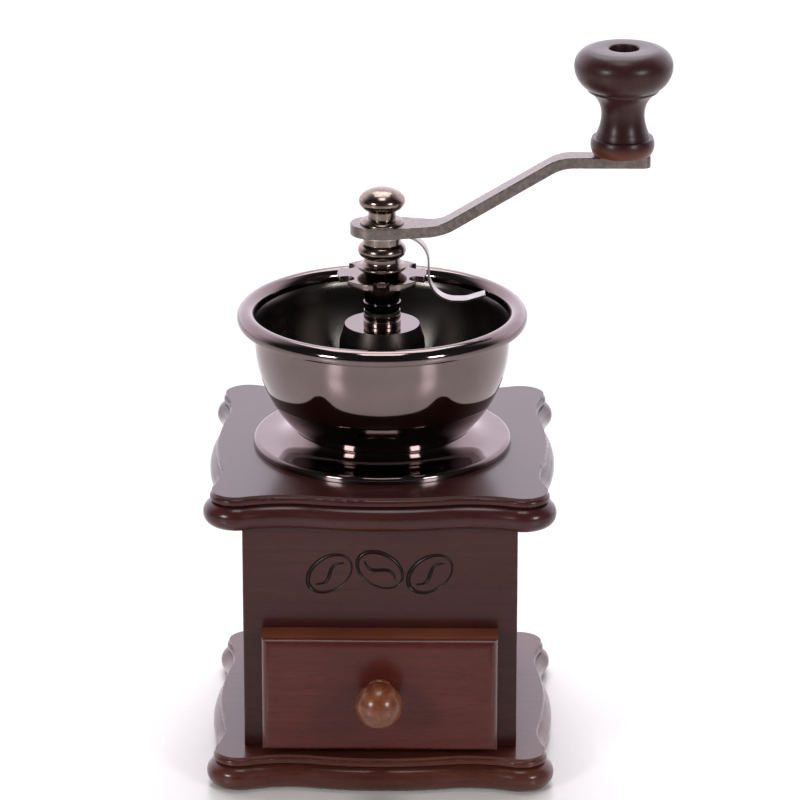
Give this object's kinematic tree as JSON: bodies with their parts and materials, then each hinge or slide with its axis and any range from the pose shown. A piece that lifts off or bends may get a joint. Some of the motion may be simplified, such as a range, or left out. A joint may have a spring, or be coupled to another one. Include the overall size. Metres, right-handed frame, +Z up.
{
  "type": "hand coffee mill",
  "caption": "Hand-cranked box mill for coffee: moulded wooden boards and box, drawer with ball pull, dark metal bowl, burr dome, star adjusting wheel and Z-bent crank with turned grip.",
  "frame": {"origin": "centre of the base board's underside, on the crank's axis", "axes": "+Z up along the drive shaft, -Y towards the drawer's front, +X towards the crank's grip at rest"},
  "size_m": [0.1622, 0.1402, 0.2551],
  "materials": {
    "stained_wood": "red-brown stain under gloss lacquer",
    "plain_wood": "planed and unfinished",
    "pull_wood": "turned, stained and lacquered",
    "dark_wood": "turned, dark stain, satin lacquer",
    "black_nickel": "black-nickel plate, mirror polished",
    "antique_nickel": "antique-nickel plate with rough sheared edges",
    "bright_steel": "bright zinc",
    "grey_iron": "as cast, oiled",
    "burr_steel": "hardened, ground teeth"
  },
  "bodies": {
    "case": {"base_board": "stained_wood", "top_board": "stained_wood", "front_panel": "stained_wood", "left_panel": "stained_wood", "right_panel": "stained_wood", "back_panel": "stained_wood", "runner_left": "plain_wood", "runner_right": "plain_wood", "hopper_bowl": "black_nickel", "bowl_flange": "black_nickel", "burr_dome": "black_nickel", "shaft_bush": "black_nickel", "burr_housing": "grey_iron", "outer_burr": "burr_steel", "burr_spring": "bright_steel"},
    "drawer": {"drawer_front": "stained_wood", "drawer_knob": "pull_wood", "drawer_left_side": "plain_wood", "drawer_right_side": "plain_wood", "drawer_back": "plain_wood", "drawer_bottom": "plain_wood"},
    "carriage": {"thrust_washer": "bright_steel"},
    "crank": {"drive_shaft": "bright_steel", "inner_burr": "burr_steel", "burr_nut": "bright_steel", "spacer_collar": "black_nickel", "lock_spring": "bright_steel", "crank_arm": "antique_nickel", "cap_nut": "black_nickel", "knob_spindle": "bright_steel", "knob_washer": "bright_steel"},
    "adjuster": {"adjusting_wheel": "black_nickel"},
    "grip": {"crank_knob": "dark_wood"}
  },
  "joints": [
    {"name": "drawer_slide", "type": "slide", "parent": "case", "child": "drawer", "axis": [0, -1, 0], "range_m": [0, 0.07]},
    {"name": "burr_lift", "type": "slide", "parent": "case", "child": "carriage", "axis": [0, 0, 1], "range_m": [0, 0.000833], "deforming": ["burr_spring"]},
    {"name": "crank_turn", "type": "hinge", "parent": "carriage", "child": "crank", "pos_m": [0, 0, 0.15], "axis": [0, 0, 1], "continuous": true},
    {"name": "grind_adjust", "type": "hinge", "parent": "crank", "child": "adjuster", "pos_m": [0, 0, 0.17], "axis": [0, 0, 1], "range_deg": [-300, 0]},
    {"name": "knob_spin", "type": "hinge", "parent": "crank", "child": "grip", "pos_m": [0.0837, 0, 0.23], "axis": [0, 0, 1], "continuous": true}
  ],
  "couplings": [
    {"joint": "grind_adjust", "follows": "burr_lift", "rad_per_m": -6283.2}
  ]
}
